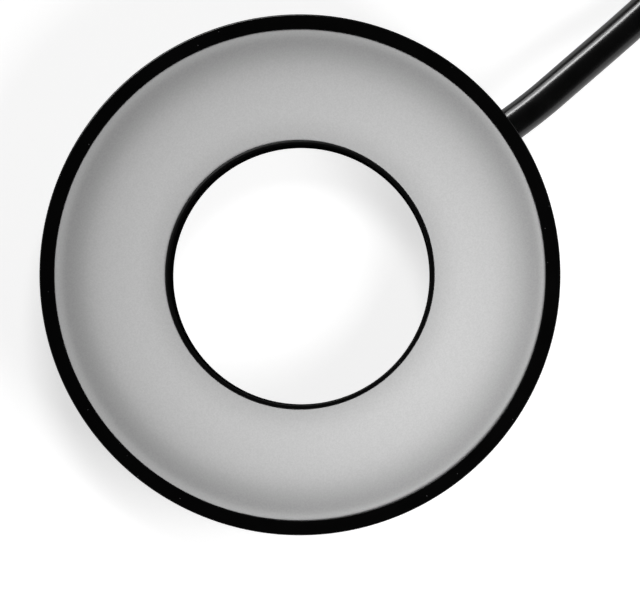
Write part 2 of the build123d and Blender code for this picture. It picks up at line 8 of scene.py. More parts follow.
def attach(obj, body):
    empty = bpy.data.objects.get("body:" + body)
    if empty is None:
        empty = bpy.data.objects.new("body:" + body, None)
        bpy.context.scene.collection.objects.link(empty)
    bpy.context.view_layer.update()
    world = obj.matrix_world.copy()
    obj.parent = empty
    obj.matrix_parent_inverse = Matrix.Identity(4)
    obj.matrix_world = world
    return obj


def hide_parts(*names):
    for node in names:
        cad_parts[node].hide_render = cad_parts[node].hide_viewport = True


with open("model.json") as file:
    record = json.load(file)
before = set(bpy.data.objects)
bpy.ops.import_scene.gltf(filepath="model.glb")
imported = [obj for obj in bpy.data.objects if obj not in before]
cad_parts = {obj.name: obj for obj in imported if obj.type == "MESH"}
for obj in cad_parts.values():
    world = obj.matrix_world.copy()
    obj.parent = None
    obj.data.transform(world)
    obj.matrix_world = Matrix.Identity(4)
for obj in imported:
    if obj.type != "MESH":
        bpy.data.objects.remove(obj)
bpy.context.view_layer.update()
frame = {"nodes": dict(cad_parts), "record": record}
nodes = frame["nodes"]

# The view: the light lies on its back, and the camera looks almost straight down on its face from a
# little over a metre. The picture is turned so that the cable leaves towards the upper right.
picture_turn = math.radians(35.7)
picture_right = Vector((math.cos(picture_turn), -math.sin(picture_turn), 0))
picture_up = Vector((math.sin(picture_turn), math.cos(picture_turn), 0))
camera_offset = (0.01611, -0.01541, 1.195)
aim_offset = (0.00387, -0.00562, 0.022)


def from_picture(offset):
    """A place given as distances to the right, up the picture and above the floor."""
    right, up, height = offset
    return picture_right * right + picture_up * up + Vector((0, 0, height))


camera_data = bpy.data.cameras.new("camera")
camera_data.sensor_width = 36.0
camera_data.lens = 344.1
camera_data.clip_start = 0.01
camera_data.clip_end = 20.0
camera = bpy.data.objects.new("camera", camera_data)
bpy.context.scene.collection.objects.link(camera)
bpy.context.scene.camera = camera
look = (from_picture(aim_offset) - from_picture(camera_offset)).normalized()
side = look.cross(picture_up).normalized()
turn = Matrix((side, side.cross(look), -look)).transposed()
camera.matrix_world = Matrix.Translation(from_picture(camera_offset)) @ turn.to_4x4()


# Rear cover: an annular plate turned from aluminium, with a thick land that takes the board's heat.
# Nine countersunk holes hold it to the housing and the sleeve, and four threads take a bracket.
# It is blasted and anodised black like the rest of the body.
def shader(material, kind, **values):
    """A new node of a material's tree, with its named inputs set."""
    node = material.node_tree.nodes.new(kind)
    for key, value in values.items():
        node.inputs[key.replace("_", " ")].default_value = value
    return node


def wire(material, source, out, target, into):
    """Links one node's output to another's input."""
    material.node_tree.links.new(source.outputs[out], target.inputs[into])


def new_material(name, **values):
    """A material with one principled shader, its plain values and a node for object coordinates."""
    material = bpy.data.materials.new(name)
    material.use_nodes = True
    surface = material.node_tree.nodes["Principled BSDF"]
    for key, value in values.items():
        surface.inputs[key.replace("_", " ")].default_value = value
    place = material.node_tree.nodes.new("ShaderNodeTexCoord")
    return material, surface, place


def grain(material, place, size, detail=3.0):
    """Noise on the object's own coordinates, with features of a size in metres."""
    noise_node = shader(material, "ShaderNodeTexNoise", Scale=1 / size, Detail=detail)
    wire(material, place, "Object", noise_node, "Vector")
    return noise_node


def ramp(material, source, out, stops):
    """A colour ramp from a list of positions and greys or colours."""
    node = material.node_tree.nodes.new("ShaderNodeValToRGB")
    band = node.color_ramp
    while len(band.elements) < len(stops):
        band.elements.new(0.5)
    for element, (position, colour) in zip(band.elements, stops):
        element.position = position
        rgb = (colour, colour, colour) if isinstance(colour, float) else colour
        element.color = (*rgb, 1.0)
    wire(material, source, out, node, "Fac")
    return node


def bumped(material, surface, source, out, strength, distance):
    """Sends a height through a bump node to a shader."""
    bump = shader(material, "ShaderNodeBump", Strength=strength, Distance=distance)
    wire(material, source, out, bump, "Height")
    wire(material, bump, "Normal", surface, "Normal")


def roughness_from(material, surface, source, out, low, high):
    """Lets a texture move the roughness between two values."""
    span = shader(material, "ShaderNodeMapRange", To_Min=low, To_Max=high)
    wire(material, source, out, span, "Value")
    wire(material, span, "Result", surface, "Roughness")


def mottled(name, dark, light, cloud, rough, tooth, depth, **values):
    """A finish whose colour and roughness drift between two values, with a fine tooth of some depth."""
    material, surface, place = new_material(name, **values)
    drift = grain(material, place, cloud)
    colour = ramp(material, drift, "Fac", [(0.32, dark), (0.68, light)])
    wire(material, colour, "Color", surface, "Base Color")
    roughness_from(material, surface, drift, "Fac", *rough)
    fine = grain(material, place, tooth)
    bumped(material, surface, fine, "Fac", 0.5, depth)
    return material


def dress(material, *names):
    """Gives CAD nodes a finish."""
    for name in names:
        nodes[name].data.materials.clear()
        nodes[name].data.materials.append(material)


def anodised_black(name, gloss, rough):
    """Blasted and anodised aluminium: near black and satin, with a few specks of pale dust."""
    material, surface, place = new_material(name, Specular_IOR_Level=gloss)
    cloud = grain(material, place, 0.011)
    colour = ramp(material, cloud, "Fac", [(0.3, 0.0010), (0.7, 0.0017)])
    specks = shader(material, "ShaderNodeTexVoronoi", Scale=700.0, Randomness=1.0)
    wire(material, place, "Object", specks, "Vector")
    dot = ramp(material, specks, "Distance", [(0.04, 1.0), (0.075, 0.0)])
    pick = ramp(material, specks, "Color", [(0.56, 0.0), (0.60, 1.0)])
    both = material.node_tree.nodes.new("ShaderNodeMath")
    both.operation = "MULTIPLY"
    wire(material, dot, "Color", both, 0)
    wire(material, pick, "Color", both, 1)
    mix = material.node_tree.nodes.new("ShaderNodeMix")
    mix.data_type = "RGBA"
    wire(material, both, "Value", mix, 0)
    wire(material, colour, "Color", mix, 6)
    mix.inputs[7].default_value = (0.07, 0.07, 0.07, 1.0)
    wire(material, mix, 2, surface, "Base Color")
    roughness_from(material, surface, cloud, "Fac", *rough)
    tooth = grain(material, place, 0.00022, detail=2.0)
    bumped(material, surface, tooth, "Fac", 0.15, 0.00001)
    return material


mm = 0.001


def metres(outline):
    """An outline of radii and heights in millimetres, in metres."""
    return [(radius * mm, height * mm) for radius, height in outline]


def rounded(outline, steps=4):
    """A closed outline of radius, height and corner radius in mm, with its corners rounded, in metres."""
    support = 0.04
    points = []
    for number, (radius, height, bend) in enumerate(outline):
        corner = Vector((radius, height))
        if bend == 0:
            points.append(corner)
            continue
        back = (Vector(outline[number - 1][:2]) - corner).normalized()
        on = (Vector(outline[(number + 1) % len(outline)][:2]) - corner).normalized()
        half = back.angle(on) / 2
        reach = bend / math.tan(half)
        centre = corner + (back + on).normalized() * bend / math.sin(half)
        first = corner + back * reach - centre
        last = corner + on * reach - centre
        points.append(corner + back * (reach + support))
        arc = [first.slerp(last, step / steps).normalized() * bend for step in range(steps + 1)]
        points += [centre + spoke for spoke in arc]
        points.append(corner + on * (reach + support))
    return metres(points)


def join_rings(form, rings):
    """Faces between each closed ring of vertices and the next one."""
    for near, far in zip(rings, rings[1:]):
        for number in range(len(near)):
            after = (number + 1) % len(near)
            form.faces.new((near[number], far[number], far[after], near[after]))


def lathe(points, steps=256, rule=None, place=None):
    """A closed skin turned about an axis; a rule may change the radius by height and angle."""
    form = bmesh.new()
    rings = []
    for step in range(steps):
        angle = math.tau * step / steps
        ring = []
        for radius, height in points:
            if rule:
                radius = rule(radius, height, angle)
            spot = Vector((radius * math.cos(angle), radius * math.sin(angle), height))
            ring.append(form.verts.new(place @ spot if place else spot))
        rings.append(ring)
    join_rings(form, rings + rings[:1])
    same_place, no_area = 1e-7, 1e-16
    bmesh.ops.remove_doubles(form, verts=form.verts, dist=same_place)
    flat = [face for face in form.faces if face.calc_area() < no_area]
    bmesh.ops.delete(form, geom=flat, context="FACES")
    bmesh.ops.recalc_face_normals(form, faces=form.faces)
    return form


def new_object(name, form, finish, sharp=35.0):
    """Makes a smooth-shaded object of a form, with its true edges kept sharp."""
    mesh = bpy.data.meshes.new(name)
    form.to_mesh(mesh)
    form.free()
    mesh.shade_smooth()
    mesh.set_sharp_from_angle(angle=math.radians(sharp))
    piece = bpy.data.objects.new(name, mesh)
    bpy.context.scene.collection.objects.link(piece)
    if finish:
        mesh.materials.append(finish)
    return piece


def plain_mesh(piece, sharp=35.0):
    """Turns an object with modifiers into a plain smooth-shaded mesh."""
    evaluated = piece.evaluated_get(bpy.context.evaluated_depsgraph_get())
    mesh = bpy.data.meshes.new_from_object(evaluated)
    piece.modifiers.clear()
    piece.data = mesh
    mesh.shade_smooth()
    mesh.set_sharp_from_angle(angle=math.radians(sharp))


def cut(piece, forms):
    """Cuts forms out of a piece, one after the other."""
    for form in forms:
        cutter = new_object("cutter", form, None)
        saw = piece.modifiers.new("cut", "BOOLEAN")
        saw.operation = "DIFFERENCE"
        saw.solver = "EXACT"
        saw.object = cutter
        plain_mesh(piece)
        bpy.data.objects.remove(cutter)


def belongs(piece, body, slot, *stands_for):
    """Attaches a piece to its body and hides the nodes that it stands for; the slot is not used."""
    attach(piece, body)
    if stands_for:
        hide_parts(*stands_for)


def drill(outline, spots):
    """Drill shapes of one outline at several places in plan, all in one form."""
    whole = bmesh.new()
    for x, y in spots:
        one = lathe(metres(outline), 40, place=Matrix.Translation((x * mm, y * mm, 0)))
        mesh = bpy.data.meshes.new("drill")
        one.to_mesh(mesh)
        one.free()
        whole.from_mesh(mesh)
        bpy.data.meshes.remove(mesh)
    return whole


thread_radius = 1.0


def threaded_holes(low, high, spots):
    """Plain holes between two heights, for the two-millimetre threads of the screws."""
    return drill([(0, low), (thread_radius, low), (thread_radius, high), (0, high)], spots)


def circle_spots(radius, count, start):
    """Places in plan, in millimetres, evenly spaced on a circle about the bore axis."""
    angles = [math.radians(start + 360 * step / count) for step in range(count)]
    return [(radius * math.cos(angle), radius * math.sin(angle)) for angle in angles]


outer_radius = 50.0
cover_top = 2.5
land_top = 6.0
middle_row_radius = 36.125
cover_screw_spots = circle_spots(47.5, 6, 30)
sleeve_screw_spots = circle_spots(30.0, 3, 0)
board_screw_spots = circle_spots(middle_row_radius, 4, 67.5)
clamp_screw_spots = [(41.8, -6.0), (41.8, 6.0)]

anodised = anodised_black("anodised_black", 0.22, (0.19, 0.26))
groove_floor = 1.9
cover_outline = [
    (27.55, 0.0, 0.15), (outer_radius, 0.0, 0.35), (outer_radius, cover_top, 0.12),
    (46.15, cover_top, 0), (46.15, groove_floor, 0), (45.25, groove_floor, 0), (45.25, cover_top, 0),
    (44.95, cover_top, 0), (44.95, land_top, 0.2), (33.0, land_top, 0.2), (33.0, cover_top, 0),
    (27.55, cover_top, 0.1),
]
cover = new_object("rear_cover_turned", lathe(rounded(cover_outline)), anodised)
screw_hole = [(0, -1), (2.05, -1), (2.05, -0.15), (1.1, 0.8), (1.1, 7), (0, 7)]
mount_hole = [(0, -1), (1.5, -1), (1.5, -0.25), (1.25, 0.0), (1.25, 4.2), (0, 4.9)]
cut(cover, [
    drill(screw_hole, cover_screw_spots + sleeve_screw_spots),
    drill(mount_hole, circle_spots(38.0, 4, 45)),
    threaded_holes(2.6, 7, board_screw_spots),
    threaded_holes(1.3, 7, clamp_screw_spots),
])
belongs(cover, "light", "black_anodised", "rear_cover")


# Seal and thermal pad: a moulded silicone ring in the cover's groove, and a soft grey-blue sheet,
# filled with ceramic powder, that is punched out and lies between the land and the board.
dress(
    mottled("silicone", 0.006, 0.010, 0.004, (0.45, 0.6), 0.0004, 0.00002, Specular_IOR_Level=0.3),
    "cover_seal",
)
dress(
    mottled(
        "filled_pad", (0.34, 0.38, 0.46), (0.42, 0.46, 0.53), 0.0015, (0.75, 0.9), 0.0003, 0.00004,
        Specular_IOR_Level=0.2,
    ),
    "thermal_pad",
)


# Light board: an aluminium-core circuit board with a white solder mask. Its traces show as very
# faint raised bands under the mask, and its edge is the bare routed core.
def white_mask():
    """White solder mask with soft raised bands where the copper runs."""
    material, surface, place = new_material("white_mask", Specular_IOR_Level=0.4)
    drift = grain(material, place, 0.006)
    colour = ramp(material, drift, "Fac", [(0.3, (0.74, 0.75, 0.72)), (0.7, (0.82, 0.82, 0.80))])
    wire(material, colour, "Color", surface, "Base Color")
    roughness_from(material, surface, drift, "Fac", 0.35, 0.5)
    bands = shader(material, "ShaderNodeTexWave", Scale=130.0, Distortion=2.0, Detail=1.0)
    bands.wave_type = "RINGS"
    bands.rings_direction = "Z"
    wire(material, place, "Object", bands, "Vector")
    step = ramp(material, bands, "Fac", [(0.45, 0.0), (0.55, 1.0)])
    bumped(material, surface, step, "Color", 0.4, 0.00004)
    return material


dress(white_mask(), "led_board")


# Lights: flat packages of white plastic with a yellow window of phosphor, soldered in three circles.
# They are left out beside the cable and round the screws and the current regulators.
def light_package():
    """White plastic with a yellow window, which the package's own attribute marks."""
    material, surface, place = new_material("light_package", Specular_IOR_Level=0.4)
    drift = grain(material, place, 0.0009)
    plastic = ramp(material, drift, "Fac", [(0.3, (0.74, 0.74, 0.71)), (0.7, (0.83, 0.83, 0.81))])
    phosphor = ramp(material, drift, "Fac", [(0.3, (0.72, 0.56, 0.06)), (0.7, (0.82, 0.68, 0.12))])
    mark = material.node_tree.nodes.new("ShaderNodeAttribute")
    mark.attribute_name = "window"
    mix = material.node_tree.nodes.new("ShaderNodeMix")
    mix.data_type = "RGBA"
    wire(material, mark, "Fac", mix, 0)
    wire(material, plastic, "Color", mix, 6)
    wire(material, phosphor, "Color", mix, 7)
    wire(material, mix, 2, surface, "Base Color")
    roughness_from(material, surface, drift, "Fac", 0.3, 0.5)
    return material


def new_tree(name, *sockets):
    """A geometry tree with its input and output nodes, and inputs of given names and kinds."""
    tree = bpy.data.node_groups.new(name, "GeometryNodeTree")
    tree.interface.new_socket("Geometry", in_out="INPUT", socket_type="NodeSocketGeometry")
    tree.interface.new_socket("Geometry", in_out="OUTPUT", socket_type="NodeSocketGeometry")
    for label, kind in sockets:
        tree.interface.new_socket(label, in_out="INPUT", socket_type="NodeSocket" + kind)
    return tree, tree.nodes.new("NodeGroupInput"), tree.nodes.new("NodeGroupOutput")


def tie_up(tree, *links):
    """Links outputs to inputs in a geometry tree, each given as node, socket, node, socket."""
    for source, out, target, into in links:
        tree.links.new(source.outputs[out], target.inputs[into])


def grown(name, form, tree, values, finish):
    """Runs a geometry tree on a form of loose points, and leaves a plain mesh with one finish."""
    piece = new_object(name, form, None)
    modifier = piece.modifiers.new("grow", "NODES")
    modifier.node_group = tree
    for item in tree.interface.items_tree:
        if item.in_out == "INPUT" and item.name in values:
            modifier[item.identifier] = values[item.name]
        if item.in_out == "INPUT" and item.name == "Finish":
            modifier[item.identifier] = finish
    plain_mesh(piece)
    return piece


def package_tree():
    """One light package at each point, turned by the point's own angle."""
    tree, start, end = new_tree(
        "light_packages", ("Size", "Vector"), ("Lift", "Vector"), ("Window radius", "Float"),
        ("Window depth", "Float"), ("Window lift", "Vector"), ("Finish", "Material"),
    )
    box = tree.nodes.new("GeometryNodeMeshCube")
    lifted = tree.nodes.new("GeometryNodeTransform")
    window = tree.nodes.new("GeometryNodeMeshCylinder")
    window.inputs["Vertices"].default_value = 20
    window_up = tree.nodes.new("GeometryNodeTransform")
    mark = tree.nodes.new("GeometryNodeStoreNamedAttribute")
    mark.data_type = "FLOAT"
    mark.domain = "FACE"
    mark.inputs["Name"].default_value = "window"
    mark.inputs["Value"].default_value = 1.0
    joined = tree.nodes.new("GeometryNodeJoinGeometry")
    angle = tree.nodes.new("GeometryNodeInputNamedAttribute")
    angle.data_type = "FLOAT"
    angle.inputs["Name"].default_value = "turn"
    spin = tree.nodes.new("ShaderNodeCombineXYZ")
    spread = tree.nodes.new("GeometryNodeInstanceOnPoints")
    real = tree.nodes.new("GeometryNodeRealizeInstances")
    paint = tree.nodes.new("GeometryNodeSetMaterial")
    tie_up(
        tree,
        (start, "Size", box, "Size"), (box, "Mesh", lifted, "Geometry"),
        (start, "Lift", lifted, "Translation"),
        (start, "Window radius", window, "Radius"), (start, "Window depth", window, "Depth"),
        (window, "Mesh", window_up, "Geometry"), (start, "Window lift", window_up, "Translation"),
        (window_up, "Geometry", mark, "Geometry"), (lifted, "Geometry", joined, "Geometry"),
        (mark, "Geometry", joined, "Geometry"), (angle, "Attribute", spin, "Z"),
        (start, "Geometry", spread, "Points"), (joined, "Geometry", spread, "Instance"),
        (spin, "Vector", spread, "Rotation"), (spread, "Instances", real, "Geometry"),
        (real, "Geometry", paint, "Geometry"), (start, "Finish", paint, "Material"),
        (paint, "Geometry", end, "Geometry"),
    )
    return tree


board_top = 8.1
led_spacing = 7.6
led_clear_of_spots = 4.95
led_beside_cable = 10.35
regulator_spots = circle_spots(middle_row_radius, 6, 0)[2:5]
row_spacing = 4.3625
row_radii = {
    "inner": middle_row_radius - row_spacing, "middle": middle_row_radius,
    "outer": middle_row_radius + row_spacing,
}
package_finish = light_package()
package_maker = package_tree()
for row_name, row_radius in row_radii.items():
    count = math.floor(2 * math.pi * row_radius / led_spacing)
    spots = bmesh.new()
    turn_of = spots.verts.layers.float.new("turn")
    for step in range(count):
        angle = math.tau * (step + 0.5) / count
        x, y = row_radius * math.cos(angle), row_radius * math.sin(angle)
        taken = any(
            math.dist((x, y), spot) < led_clear_of_spots for spot in board_screw_spots + regulator_spots
        )
        if taken or (x > 0 and abs(y) < led_beside_cable):
            continue
        vert = spots.verts.new((x * mm, y * mm, board_top * mm))
        vert[turn_of] = angle
    row = grown(f"light_row_{row_name}", spots, package_maker, {
        "Size": (0.0028, 0.0035, 0.00076), "Lift": (0, 0, 0.00038), "Window radius": 0.00115,
        "Window depth": 0.0001, "Window lift": (0, 0, 0.00074),
    }, package_finish)
    belongs(row, "light", "led_package", f"leds_{row_name}_row")


# Small parts on the board: black chip resistors, moulded regulators and a diode, a two-way header
# of natural nylon with tinned pins, and the crimp housing and two leads that plug into it.
dress(
    mottled("chip_glaze", 0.010, 0.020, 0.0008, (0.25, 0.4), 0.0002, 0.00001, Specular_IOR_Level=0.5),
    "resistors",
)
dress(
    mottled("chip_epoxy", 0.012, 0.020, 0.0010, (0.5, 0.65), 0.00015, 0.00002, Specular_IOR_Level=0.4),
    "current_regulators", "protection_diode",
)
dress(
    mottled(
        "natural_nylon", (0.62, 0.60, 0.52), (0.70, 0.68, 0.60), 0.003, (0.4, 0.55), 0.0004, 0.00002,
        Specular_IOR_Level=0.4,
    ),
    "board_header", "lead_plug",
)
dress(
    mottled("tin", 0.60, 0.68, 0.001, (0.25, 0.4), 0.0003, 0.00001, Metallic=1.0),
    "header_pins",
)
dress(
    mottled(
        "brown_insulation", (0.14, 0.055, 0.025), (0.18, 0.075, 0.035), 0.004, (0.3, 0.42), 0.0006,
        0.00001, Specular_IOR_Level=0.45,
    ),
    "lead_brown",
)
dress(
    mottled(
        "blue_insulation", (0.02, 0.08, 0.36), (0.03, 0.11, 0.43), 0.004, (0.3, 0.42), 0.0006, 0.00001,
        Specular_IOR_Level=0.45,
    ),
    "lead_blue",
)


# Reflector: a white moulding that stands on the board and throws the light forwards. Its flange
# carries the diffuser, and its face has the fine spark-eroded texture of its mould.
dress(
    mottled("white_moulding", 0.80, 0.86, 0.008, (0.55, 0.7), 0.00025, 0.00003, Specular_IOR_Level=0.3),
    "reflector",
)


# Bore sleeve: a turned tube with a foot that the cover is screwed to. Its thin front lip is
# crowned and blasted more coarsely than the shell, and the bore wall is left dull against glare.
def dull_black():
    """The bore's flat black, with no gloss at all and very faint turning marks."""
    material, surface, place = new_material("dull_black", Roughness=0.9, Specular_IOR_Level=0.0)
    marks = shader(material, "ShaderNodeTexWave", Scale=900.0, Distortion=0.6, Detail=2.0)
    marks.bands_direction = "Z"
    wire(material, place, "Object", marks, "Vector")
    colour = ramp(material, marks, "Fac", [(0.2, 0.0010), (0.8, 0.0022)])
    wire(material, colour, "Color", surface, "Base Color")
    return material


bore_radius, lip_radius, tube_radius, foot_radius = 25.0, 25.85, 27.5, 32.5
foot_top, ledge_top, front_height = 5.5, 19.5, 22.0
sleeve_outline = [
    (bore_radius, 0.0, 0.15), (tube_radius, 0.0, 0.1), (tube_radius, cover_top, 0),
    (foot_radius, cover_top, 0.1), (foot_radius, foot_top, 0.2), (tube_radius, foot_top, 0),
    (tube_radius, ledge_top, 0), (lip_radius, ledge_top, 0), (lip_radius, front_height, 0.48),
    (bore_radius, front_height, 0.22),
]
coarse_black = anodised_black("coarse_black", 0.12, (0.42, 0.50))
sleeve = new_object("bore_sleeve_turned", lathe(rounded(sleeve_outline, 6)), coarse_black)
cut(sleeve, [threaded_holes(2, 6, sleeve_screw_spots)])
sleeve.data.materials.append(dull_black())
within_bore_wall = (bore_radius + 0.04) * mm
for face in sleeve.data.polygons:
    if face.center.xy.length < within_bore_wall:
        face.material_index = 1
belongs(sleeve, "light", "black_anodised", "bore_sleeve")


# Housing: the outer shell, turned from aluminium, with the front rim round the diffuser, the ledge
# below it and a drilled hole for the cable. Every edge that a hand meets is broken.
rim_radius = 47.12
wall_radius = 45.0
housing_outline = [
    (wall_radius, cover_top, 0.0), (outer_radius, cover_top, 0.12), (outer_radius, front_height, 0.4),
    (rim_radius, front_height, 0.2), (rim_radius, 18.5, 0), (wall_radius, 18.5, 0.1),
]
exit_height = 0.011
housing = new_object("housing_turned", lathe(rounded(housing_outline)), anodised)
cable_hole = [(0, 43), (4.2, 43), (4.2, 49.6), (4.5, 50.1), (4.5, 51), (0, 51)]
along_x = Matrix.Translation((0, 0, exit_height)) @ Matrix.Rotation(math.pi / 2, 4, "Y")
cut(housing, [
    threaded_holes(2, 7, cover_screw_spots),
    lathe(metres(cable_hole), 64, place=along_x),
])
belongs(housing, "light", "black_anodised", "housing")


# Diffuser: a ring of opal acrylic with a fine matte face, which dips by a third of a millimetre near
# its outer edge and comes most of the way up again. The white cavity behind it gets shallower
# outwards, so the plate looks darker there, and lighter again at the very edge, on the flange. This
# shade and light are painted into the plate's colour as greys that follow the radius.
plate_back, plate_face = ledge_top, 21.5
plate_inner, plate_outer = 25.87, 47.1


def eased(value, start, width):
    """A smooth step from 0 to 1, from a start and over a width."""
    share = min(max((value - start) / width, 0), 1)
    return share**2 * (3 - 2 * share)


dip_depth, dip_from, dip_width = 0.34, 40.4, 4.4
rise_depth, rise_from, rise_width = 0.24, 45.1, 1.8


def face_height(radius):
    """The height of the diffuser's face at some radius, in millimetres."""
    dip = dip_depth * eased(radius, dip_from, dip_width)
    rise = rise_depth * eased(radius, rise_from, rise_width)
    return plate_face - dip + rise


def opal_acrylic():
    """Matte opal plate with a fine grain, whose colour carries painted shade and light that follow the
    radius.
    """
    material, surface, place = new_material("opal_acrylic", Roughness=0.6, Specular_IOR_Level=0.25)
    flat = material.node_tree.nodes.new("ShaderNodeVectorMath")
    flat.operation = "MULTIPLY"
    flat.inputs[1].default_value = (1.0, 1.0, 0.0)
    wire(material, place, "Object", flat, 0)
    radius = material.node_tree.nodes.new("ShaderNodeVectorMath")
    radius.operation = "LENGTH"
    wire(material, flat, "Vector", radius, 0)
    first, last, peak = 25.5, 47.5, 0.595
    span = shader(material, "ShaderNodeMapRange", From_Min=first * mm, From_Max=last * mm)
    wire(material, radius, "Value", span, "Value")
    # Painted shade: the cavity's shade through the plate, darker outwards and lighter again at the
    # flange.
    painted_shade_greys = [
        (26.0, 0.852), (27.8, 0.90), (29.7, 0.972), (31.6, 0.988), (33.6, 0.973), (35.5, 0.95),
        (37.4, 0.92), (39.3, 0.85), (41.2, 0.745), (43.1, 0.63), (44.6, 0.562), (45.5, 0.58),
        (46.1, 0.65), (46.8, 0.745),
    ]
    stops = [((spot - first) / (last - first), peak * grey) for spot, grey in painted_shade_greys]
    painted_shade = ramp(material, span, "Result", stops)
    painted_shade.color_ramp.interpolation = "B_SPLINE"
    speckle = grain(material, place, 0.00030, detail=2.0)
    light = ramp(material, speckle, "Fac", [(0.30, 0.90), (0.70, 1.0)])
    both = material.node_tree.nodes.new("ShaderNodeMix")
    both.data_type = "RGBA"
    both.blend_type = "MULTIPLY"
    both.inputs[0].default_value = 1.0
    wire(material, painted_shade, "Color", both, 6)
    wire(material, light, "Color", both, 7)
    wire(material, both, 2, surface, "Base Color")
    bumped(material, surface, speckle, "Fac", 0.25, 0.00002)
    return material


diffuser_outline = [
    (plate_inner, plate_back, 0), (plate_outer, plate_back, 0),
    (plate_outer, face_height(plate_outer), 0.05),
]
face_radii = [
    46.75, 46.45, 46.15, 45.85, 45.55, 45.2, 44.8, 44.2, 43.6, 42.8, 42.0, 41.2, 40.4, 38.0, 32.0, 28.0,
]
diffuser_outline += [(radius, face_height(radius), 0) for radius in face_radii]
diffuser_outline.append((plate_inner, plate_face, 0.05))
diffuser = new_object("diffuser_plate", lathe(rounded(diffuser_outline)), opal_acrylic(), sharp=50.0)
belongs(diffuser, "light", "opal_acrylic", "diffuser")


# Adhesive: a thin bead of black silicone in the joint on each side of the diffuser. It is laid by
# hand, so its edge on the plate wanders a little.
def bead(name, wall, edge, stands_for):
    """A bead between a wall and the plate, whose upper edge wanders over the plate."""
    steps = 720
    onto_plate = 1 if edge > wall else -1
    top_at_wall, foot_at_edge = 21.36, 21.0
    form = bmesh.new()
    rings = []
    for step in range(steps):
        angle = math.tau * step / steps
        spot = Vector((math.cos(angle), math.sin(angle), 0))
        creep = 0.01 + 0.03 * noise.noise(spot * 60) + 0.02 * noise.noise(spot * 190)
        rim = edge + onto_plate * max(creep, 0.005)
        section = [
            (edge, plate_back), (wall, plate_back), (wall, top_at_wall),
            ((wall + edge) / 2, face_height(edge) + 0.05),
            (rim, face_height(rim) + 0.02), (rim, face_height(rim) - 0.05), (edge, foot_at_edge),
        ]
        rings.append([form.verts.new((*(spot.xy * radius * mm), z * mm)) for radius, z in section])
    join_rings(form, rings + rings[:1])
    bmesh.ops.recalc_face_normals(form, faces=form.faces)
    silicone = mottled(
        name + "_silicone", 0.0015, 0.0035, 0.002, (0.5, 0.65), 0.0003, 0.00001, Specular_IOR_Level=0.15
    )
    piece = new_object(name, form, silicone, sharp=60.0)
    belongs(piece, "light", "black_silicone", stands_for)


bead("outer_bead", rim_radius, plate_outer, "outer_adhesive")
bead("inner_bead", lip_radius, plate_inner, "inner_adhesive")


# Screws: nine countersunk and six pan-head screws with two-millimetre threads and a six-sided
# drive. The outer ones are blackened, those on the board and the clamp are bright zinc.
screw_radius = 0.98
key_radius = 0.75


def screw_form(name, outline, socket_floor, socket_top):
    """One screw on its own axis, turned and then broached for a six-sided key."""
    shank = new_object(name, lathe(rounded(outline, 3), 48), None)
    key = bmesh.new()
    bmesh.ops.create_cone(
        key, cap_ends=True, segments=6, radius1=key_radius * mm, radius2=key_radius * mm,
        depth=(socket_top - socket_floor) * mm,
        matrix=Matrix.Translation((0, 0, (socket_top + socket_floor) / 2 * mm)),
    )
    cut(shank, [key])
    return shank


def flat_screw(name, length):
    """A countersunk screw of a length in millimetres, with its head at the origin."""
    outline = [
        (0, 0, 0), (1.86, 0, 0.06), (screw_radius, 0.9, 0), (screw_radius, length - 0.2, 0),
        (0.8, length, 0), (0, length, 0),
    ]
    return screw_form(name, outline, -0.1, 0.8)


def pan_screw(name, length):
    """A pan-head screw that points down, with the underside of its head at the origin."""
    outline = [
        (0, 1.2, 0), (1.9, 1.2, 0.45), (1.9, 0, 0.05), (screw_radius, 0, 0),
        (screw_radius, 0.2 - length, 0), (0.8, -length, 0), (0, -length, 0),
    ]
    return screw_form(name, outline, 0.4, 1.3)


def screw_tree():
    """One screw at each point, each turned to its own seeded angle."""
    tree, start, end = new_tree(
        "screws_at_points", ("Screw", "Object"), ("Turn", "Float"), ("Seed", "Int"),
        ("Finish", "Material"),
    )
    screw = tree.nodes.new("GeometryNodeObjectInfo")
    chance = tree.nodes.new("FunctionNodeRandomValue")
    chance.data_type = "FLOAT"
    spin = tree.nodes.new("ShaderNodeCombineXYZ")
    spread = tree.nodes.new("GeometryNodeInstanceOnPoints")
    real = tree.nodes.new("GeometryNodeRealizeInstances")
    paint = tree.nodes.new("GeometryNodeSetMaterial")
    tie_up(
        tree,
        (start, "Screw", screw, "Object"), (start, "Turn", chance, 3), (start, "Seed", chance, 8),
        (chance, 1, spin, "Z"),
        (start, "Geometry", spread, "Points"), (screw, "Geometry", spread, "Instance"),
        (spin, "Vector", spread, "Rotation"), (spread, "Instances", real, "Geometry"),
        (real, "Geometry", paint, "Geometry"), (start, "Finish", paint, "Material"),
        (paint, "Geometry", end, "Geometry"),
    )
    return tree


def screw_group(name, screw, spots, height, seed, finish, slot, stands_for):
    """A group of like screws at places in plan, as one piece."""
    points = bmesh.new()
    for x, y in spots:
        points.verts.new((x * mm, y * mm, height * mm))
    values = {"Screw": screw, "Turn": math.tau, "Seed": seed}
    belongs(grown(name, points, screw_maker, values, finish), "light", slot, stands_for)


